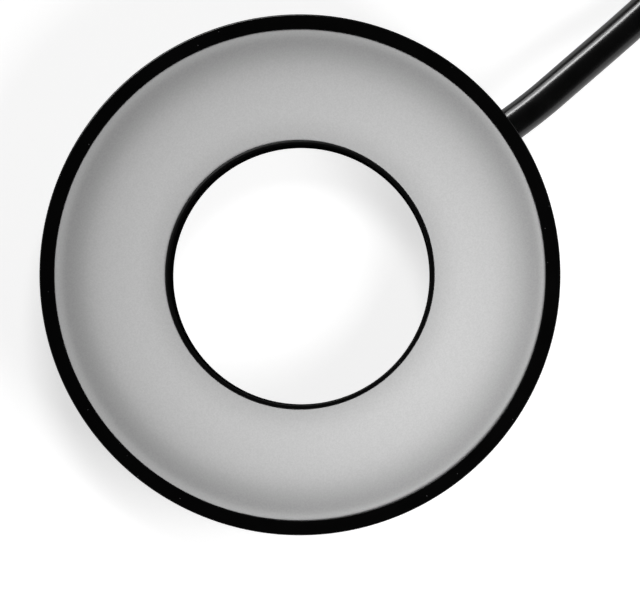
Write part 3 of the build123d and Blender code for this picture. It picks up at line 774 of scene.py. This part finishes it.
screw_maker = screw_tree()
black_oxide = mottled(
    "black_oxide", 0.010, 0.020, 0.0012, (0.3, 0.45), 0.0003, 0.00001,
    Metallic=0.6, Specular_IOR_Level=0.5,
)
bright_zinc = mottled("bright_zinc", 0.55, 0.66, 0.0012, (0.25, 0.4), 0.0003, 0.00001, Metallic=1.0)
flat_long = flat_screw("flat_long", 6.5)
flat_short = flat_screw("flat_short", 5.0)
pan_short = pan_screw("pan_short", 5.0)
pan_long = pan_screw("pan_long", 13.5)
clamp_top = 15.25
for name, screw, spots, height, seed, finish, slot in (
    ("cover", flat_long, cover_screw_spots, 0, 3, black_oxide, "blackened_steel"),
    ("sleeve", flat_short, sleeve_screw_spots, 0, 5, black_oxide, "blackened_steel"),
    ("board", pan_short, board_screw_spots, board_top, 7, bright_zinc, "plain_steel"),
    ("clamp", pan_long, clamp_screw_spots, clamp_top, 9, bright_zinc, "plain_steel"),
):
    screw_group(f"{name}_screw_set", screw, spots, height, seed, finish, slot, f"{name}_screws")
for screw in (flat_long, flat_short, pan_short, pan_long):
    bpy.data.objects.remove(screw)


# Cable entry: a soft black bush in the wall, a two-part nylon clamp behind it that takes the pull,
# and the end of the sheath, which is stripped just past the clamp.
dress(
    mottled("bush_rubber", 0.006, 0.011, 0.003, (0.6, 0.75), 0.0003, 0.00002, Specular_IOR_Level=0.25),
    "cable_bush",
)
dress(
    mottled(
        "clamp_nylon", (0.58, 0.57, 0.52), (0.66, 0.65, 0.60), 0.004, (0.45, 0.6), 0.0004, 0.00002,
        Specular_IOR_Level=0.4,
    ),
    "cable_clamp_lower", "cable_clamp_upper",
)


# Cable: a black lead with a smooth glossy sheath. It leaves the wall level, comes down to the
# floor and runs out of the picture. What is left of its metre is wound there in a two-layer coil,
# and its end comes out of the coil to the connector.
def glossy_sheath():
    """Smooth black sheath with the faint waviness of an extruded lead."""
    material, surface, place = new_material("glossy_sheath", Specular_IOR_Level=0.5)
    drift = grain(material, place, 0.007)
    colour = ramp(material, drift, "Fac", [(0.3, 0.0016), (0.7, 0.0028)])
    wire(material, colour, "Color", surface, "Base Color")
    roughness_from(material, surface, drift, "Fac", 0.20, 0.25)
    skin = grain(material, place, 0.0016, detail=1.0)
    bumped(material, surface, skin, "Fac", 0.10, 0.00002)
    return material


cable_radius = 0.00335
exit_x = outer_radius * mm
lead_route = [
    (0.0, 0.0, exit_height), (0.0055, 0.0, exit_height), (0.015, 0.0009, 0.010), (0.027, 0.0020, 0.0069),
    (0.039, 0.0033, 0.0043), (0.0515, 0.0082, cable_radius), (0.0625, 0.0180, 0.0035),
    (0.0696, 0.0311, 0.0040),
]
coil_centre = Vector((exit_x + 0.033, 0.075, 0))
coil_outer_radius = 0.0448
coil_pitch = 0.0073
coil_start = math.radians(-10.0)
coil_turns = 3.306
coil_turnback = 1.75
coil_climb = 0.5
tie_thickness = 0.0008
tie_gap = 0.00035
coil_base = tie_thickness + tie_gap + cable_radius
coil_points_a_turn = 24
lead_last_run = 0.015
end_runs = [(0.0113, 1.0), (0.0253, 0.0), (0.0373, 0.0)]
plug_axis_height = 0.0074


def coil_place(turns):
    """Radius and height of the coil's centreline: inwards below, up, and outwards above."""
    wound = turns if turns < coil_turnback else 2 * coil_turnback - turns
    risen = eased(turns, coil_turnback - coil_climb / 2, coil_climb)
    return coil_outer_radius - coil_pitch * wound, coil_base + coil_pitch * risen


def coil_point(turns, widen=1.0):
    """A point of the coil's centreline, which may be pushed out a little."""
    angle = coil_start + math.tau * turns
    radius, height = coil_place(turns)
    radius *= widen
    return coil_centre + Vector((radius * math.cos(angle), radius * math.sin(angle), height))


def level_way(turns):
    """The coil's direction in plan at its start or end."""
    low, high = max(turns - 0.001, 0), min(turns + 0.001, coil_turns)
    way = coil_point(high) - coil_point(low)
    return Vector((way.x, way.y, 0)).normalized()


def cable_line():
    """The control points of the whole cable, from the wall to the connector."""
    points = [Vector((exit_x + x, y, z)) for x, y, z in lead_route]
    entry = coil_point(0) - level_way(0) * 2 * cable_radius
    points += [entry - level_way(0) * lead_last_run, entry]
    steps = round(coil_turns * coil_points_a_turn)
    widen = 1 / (0.75 + 0.25 * math.cos(math.tau / coil_points_a_turn))
    points += [coil_point(coil_turns * (k + 0.5) / steps, widen) for k in range(steps)]
    way = level_way(coil_turns)
    leave = coil_point(coil_turns) + way * 2 * cable_radius
    points.append(leave)
    for distance, share in end_runs:
        place = leave + way * distance
        height = plug_axis_height + (leave.z - plug_axis_height) * share
        points.append(Vector((place.x, place.y, height)))
    return points


sheath = glossy_sheath()
dress(sheath, "cable_tail")
cable_curve = bpy.data.curves.new("cable", "CURVE")
cable_curve.dimensions = "3D"
cable_spline = cable_curve.splines.new("NURBS")
cable_points = cable_line()
cable_spline.points.add(len(cable_points) - 1)
for point, place in zip(cable_spline.points, cable_points):
    point.co = (*place, 1.0)
cable_spline.order_u = 3
cable_spline.use_endpoint_u = True
cable_curve.resolution_u = 6
cable_curve.bevel_depth = cable_radius
cable_curve.bevel_resolution = 8
cable_curve.use_fill_caps = True
cable_curve.materials.append(sheath)
cable = bpy.data.objects.new("cable", cable_curve)
bpy.context.scene.collection.objects.link(cable)
belongs(cable, "light", "cable_sheath", "cable_lead", "cable_coil", "cable_end_run")


# Ties: three narrow hook-and-loop straps drawn round all the turns. Each one's free end is
# pressed down over itself at the top.
def strap_webbing():
    """Black hook-and-loop strap with a matte, fuzzy face."""
    material, surface, place = new_material("strap_webbing", Specular_IOR_Level=0.2, Sheen_Weight=0.25)
    surface.inputs["Sheen Roughness"].default_value = 0.5
    fuzz = grain(material, place, 0.00035, detail=4.0)
    colour = ramp(material, fuzz, "Fac", [(0.3, 0.004), (0.7, 0.014)])
    wire(material, colour, "Color", surface, "Base Color")
    roughness_from(material, surface, fuzz, "Fac", 0.8, 0.95)
    bumped(material, surface, fuzz, "Fac", 0.8, 0.00012)
    return material


def strap_layer(form, crossings, angle, span, first, last, inner, outer):
    """One layer of strap round the crossings, over a range of directions, with rounded edges."""
    closed = last - first >= 360
    across, around = 9, 96 if closed else 24
    skins = []
    for step in range(around if closed else around + 1):
        towards = math.radians(first + (last - first) * step / around)
        way = Vector((math.cos(towards), math.sin(towards)))
        middle = max(crossings, key=lambda spot: spot.dot(way))
        row = []
        for reach, order in ((outer, range(across)), (inner, reversed(range(across)))):
            for place in order:
                share = 2 * place / (across - 1) - 1
                soft = 0.12 * (outer - inner) * share**8
                length = reach + (-soft if reach == outer else soft)
                spot = middle + way * length
                turned = math.radians(angle + span / 2 * share)
                outwards = Vector((math.cos(turned), math.sin(turned), 0))
                row.append(form.verts.new(coil_centre + outwards * spot.x + Vector((0, 0, spot.y))))
        skins.append(row)
    join_rings(form, skins + (skins[:1] if closed else []))
    if not closed:
        form.faces.new(skins[0])
        form.faces.new(list(reversed(skins[-1])))


webbing = strap_webbing()
straps = bmesh.new()
strap_span = 10.0
for tie_angle in (50.0, 185.0, 323.0):
    turns = (math.radians(tie_angle) - coil_start) / math.tau % 1
    crossings = []
    while turns < coil_turns:
        crossings.append(Vector(coil_place(turns)))
        turns += 1
    inside = cable_radius + tie_gap
    strap_layer(straps, crossings, tie_angle, strap_span, 0, 360, inside, inside + tie_thickness)
    flap_inner, flap_outer = inside + 0.9 * tie_thickness, inside + 1.7 * tie_thickness
    strap_layer(straps, crossings, tie_angle, 0.96 * strap_span, 40, 128, flap_inner, flap_outer)
bmesh.ops.recalc_face_normals(straps, faces=straps.faces)
tie_set = new_object("strap_set", straps, webbing, sharp=40.0)
belongs(tie_set, "light", "tie_webbing", "coil_ties")


# Connector: a moulded grip with a tapered tail, long hollows for the fingers and a spigot that
# keeps the coupling nut. It is modelled along its own axis and laid down where the cable ends, on
# the axis that the nut turns about.
nut_joint = frame["record"]["behaviour"]["joints"][0]
plug_origin = Vector(nut_joint["pos_m"])
plug_way = Vector(nut_joint["axis"]).normalized()
plug_up = Vector((0, 0, 1))
plug_place = Matrix.Translation(plug_origin) @ Matrix(
    (plug_up, plug_way.cross(plug_up), plug_way)
).transposed().to_4x4()


def hollow(angle, count, half_width):
    """How deep into one of several evenly spaced round hollows an angle lies, from 0 to 1."""
    pitch = math.tau / count
    away = abs((angle + pitch / 2) % pitch - pitch / 2) / half_width
    return math.sqrt(1 - away**2) if away < 1 else 0.0


spigot_radius = 0.0042
hollows_from, hollows_to, hollows_fade, hollows_depth = 0.0125, 0.0275, 0.0012, 0.0005
rings_from, rings_to, rings_pitch, rings_depth = 0.0015, 0.0095, 0.002, 0.00022


def grip_rule(radius, height, angle):
    """Twelve long hollows along the body, fading at both ends, and four rings on the tail."""
    if radius < spigot_radius:
        return radius
    lower = min(max((height - hollows_from) / hollows_fade, 0), 1)
    upper = min(max((hollows_to - height) / hollows_fade, 0), 1)
    radius -= hollows_depth * hollow(angle, 12, math.radians(7.8)) * lower * upper
    if rings_from < height < rings_to:
        wave = math.cos(math.tau * (height - rings_from) / rings_pitch - math.pi)
        radius -= rings_depth * max(wave, 0) ** 0.5
    return radius


black_moulding = mottled(
    "black_moulding", 0.006, 0.010, 0.003, (0.42, 0.55), 0.00025, 0.00002, Specular_IOR_Level=0.35
)
tail_radius, tail_length = 4.4, 11.0
body_radius, body_length = 6.4, 19.0
taper = (body_radius - tail_radius) / tail_length
tail_heights = [tail_length * step / 44 for step in range(2, 44)]
tail = [(tail_radius + taper * height, height) for height in tail_heights]
body = [(body_radius, tail_length + body_length * step / 60) for step in range(1, 59)]
grip_points = [(0, 0), (4.1, 0), (4.35, 0.12)] + tail + body
grip_points += [(6.3, 29.85), (6.05, 30.0), (4.3, 30.0), (4.3, 33.6), (4.9, 33.6), (4.9, 35.0), (0, 35.0)]
grip_form = lathe(metres(grip_points), 240, grip_rule, plug_place)
grip = new_object("grip_moulded", grip_form, black_moulding)
belongs(grip, "light", "plug_plastic", "plug_grip")


# Coupling nut: turned brass, nickel-plated, with twenty-four flutes for the fingers and an outside
# thread of one-millimetre pitch. It turns freely on the grip's spigot.
flute_depth = 0.000367
thread_from, thread_to, thread_pitch, thread_depth = 0.0384, 0.0441, 0.001, 0.00042


def nut_rule(radius, height, angle):
    """Flutes on the grip of the nut, and the thread's ridges on its front."""
    if radius > 0.0066 and height < thread_from:
        return radius - flute_depth * hollow(angle, 24, math.radians(4.1))
    if 0.0055 < radius < 0.0061 and thread_from < height < thread_to:
        ridge = abs((height / thread_pitch - angle / math.tau) % 1 * 2 - 1)
        fade = min((height - thread_from) / 0.0006, (thread_to - height) / 0.0004, 1)
        return radius - thread_depth * min(max(1.25 * ridge - 0.15, 0), 1) * fade
    return radius


def nickel():
    """Bright nickel plate with faint turning marks and handling haze."""
    material, surface, place = new_material("nickel", Metallic=1.0)
    haze = grain(material, place, 0.0025)
    colour = ramp(material, haze, "Fac", [(0.3, (0.56, 0.54, 0.50)), (0.7, (0.66, 0.64, 0.60))])
    wire(material, colour, "Color", surface, "Base Color")
    roughness_from(material, surface, haze, "Fac", 0.16, 0.28)
    marks = grain(material, place, 0.0002, detail=2.0)
    bumped(material, surface, marks, "Fac", 0.15, 0.00001)
    return material


flute_rows = [(7.25, 30.75 + 7.1 * step / 8) for step in range(9)]
thread_rows = [(6.0, 38.42 + 5.6 * step / 70) for step in range(71)]
nut_points = [(4.35, 30.3), (6.7, 30.3), (7.0, 30.4), (7.2, 30.6)] + flute_rows
nut_points += [(7.2, 38.0), (7.0, 38.2), (6.7, 38.3), (5.9, 38.3)] + thread_rows
nut_points += [(5.9, 44.15), (5.75, 44.3), (5.35, 44.3), (5.2, 44.15), (5.2, 33.3), (4.35, 33.3)]
nut_form = lathe(metres(nut_points), 384, nut_rule, plug_place)
nut = new_object("coupling_nut_turned", nut_form, nickel(), sharp=50.0)
belongs(nut, "nut", "nickel_brass", "coupling_nut")


# Contacts: a moulded black cup with four gold-plated pins, pressed into the end of the grip. A soft
# ring at its foot keeps water out once the nut is drawn up.
dress(black_moulding, "contact_carrier")
dress(
    mottled(
        "gold_plate", (0.80, 0.55, 0.22), (0.88, 0.64, 0.28), 0.001, (0.18, 0.3), 0.0003, 0.00001,
        Metallic=1.0,
    ),
    "contact_pins",
)
dress(
    mottled("ring_rubber", 0.007, 0.012, 0.001, (0.5, 0.65), 0.0003, 0.00001, Specular_IOR_Level=0.3),
    "plug_seal",
)
on_the_cable = [tie_set, grip, nut]
on_the_cable += [nodes[name] for name in ("contact_carrier", "contact_pins", "plug_seal")]


# The floor and the studio: white paper that keeps the shadow, a dark ceiling with walls that are
# palest to the upper left, a key lamp beyond the top of the picture and a lamp near its lower right
# corner. A strip and a panel to the upper left light gloss only: the line along the cable.
floor_form = bmesh.new()
bmesh.ops.create_grid(floor_form, x_segments=1, y_segments=1, size=6.0)


paper_grey, paper_lift, mirrored_share = 0.6, 0.68, 0.4


def white_floor():
    """White paper that the camera sees near full white where no shadow falls."""
    material, surface, _ = new_material("white_floor", Roughness=0.9, Specular_IOR_Level=0.0)
    surface.inputs["Base Color"].default_value = (paper_grey, paper_grey, paper_grey, 1.0)
    tree = material.node_tree
    path = tree.nodes.new("ShaderNodeLightPath")
    seen = tree.nodes.new("ShaderNodeMath")
    seen.operation = "MULTIPLY_ADD"
    wire(material, path, "Is Glossy Ray", seen, 0)
    seen.inputs[1].default_value = mirrored_share
    wire(material, path, "Is Camera Ray", seen, 2)
    scaled = tree.nodes.new("ShaderNodeMath")
    scaled.operation = "MULTIPLY"
    wire(material, seen, "Value", scaled, 0)
    scaled.inputs[1].default_value = paper_lift
    glow = shader(material, "ShaderNodeEmission")
    wire(material, scaled, "Value", glow, "Strength")
    total = tree.nodes.new("ShaderNodeAddShader")
    wire(material, surface, "BSDF", total, 0)
    wire(material, glow, "Emission", total, 1)
    wire(material, total, "Shader", tree.nodes["Material Output"], "Surface")
    return material


floor_below = 0.0001
bmesh.ops.translate(floor_form, verts=floor_form.verts, vec=(0, 0, -floor_below))
new_object("floor", floor_form, white_floor())


def soft_lamp(name, offset, aim, size, power, mirrored):
    """A soft rectangular lamp at a place in the picture, turned to a point, for gloss or for the rest."""
    data = bpy.data.lights.new(name, "AREA")
    data.shape = "RECTANGLE"
    data.size, data.size_y = size
    data.energy = power
    lamp = bpy.data.objects.new(name, data)
    bpy.context.scene.collection.objects.link(lamp)
    way = (from_picture(aim) - from_picture(offset)).normalized()
    lamp.location = from_picture(offset)
    lamp.rotation_mode = "QUATERNION"
    lamp.rotation_quaternion = way.to_track_quat("-Z", "Y")
    lamp.visible_camera = False
    lamp.visible_glossy = mirrored
    lamp.visible_diffuse = not mirrored


soft_lamp("key_lamp", (0.0, 0.30, 0.68), (0, 0, 0.02), (0.20, 0.20), 2.06, False)
soft_lamp("near_lamp", (0.125, -0.088, 0.175), (0, 0, 0.02), (0.13, 0.13), 0.41, False)
soft_lamp("strip_lamp", (-0.33, 0.65, 0.363), (0.05, 0.04, 0.01), (0.8, 0.12), 7.0, True)
soft_lamp("low_panel", (-0.33, 0.65, 0.16), (0.05, 0.04, 0.01), (0.8, 0.30), 3.0, True)

wall_greys = ((0.10, 1.0), (0.45, 0.02))
palest_way = from_picture((-0.5, 0.87, 0))
wall_levels = {"From Min": -0.6, "From Max": 0.6, "To Min": 0.15, "To Max": 1.0}
world = bpy.data.worlds.new("studio")
bpy.context.scene.world = world
world.use_nodes = True
world_tree = world.node_tree
backdrop = world_tree.nodes["Background"]
room_place = world_tree.nodes.new("ShaderNodeTexCoord")
room_split = world_tree.nodes.new("ShaderNodeSeparateXYZ")
world_tree.links.new(room_place.outputs["Generated"], room_split.inputs["Vector"])
room_ramp = world_tree.nodes.new("ShaderNodeValToRGB")
for element, (position, grey) in zip(room_ramp.color_ramp.elements, wall_greys):
    element.position = position
    element.color = (grey, grey, grey, 1.0)
world_tree.links.new(room_split.outputs["Z"], room_ramp.inputs["Fac"])
world_tree.links.new(room_ramp.outputs["Color"], backdrop.inputs["Color"])
room_side = world_tree.nodes.new("ShaderNodeVectorMath")
room_side.operation = "DOT_PRODUCT"
room_side.inputs[1].default_value = palest_way
world_tree.links.new(room_place.outputs["Generated"], room_side.inputs[0])
room_level = world_tree.nodes.new("ShaderNodeMapRange")
for label, value in wall_levels.items():
    room_level.inputs[label].default_value = value
world_tree.links.new(room_side.outputs["Value"], room_level.inputs["Value"])
world_tree.links.new(room_level.outputs["Result"], backdrop.inputs["Strength"])

bpy.context.scene.view_settings.view_transform = "Standard"
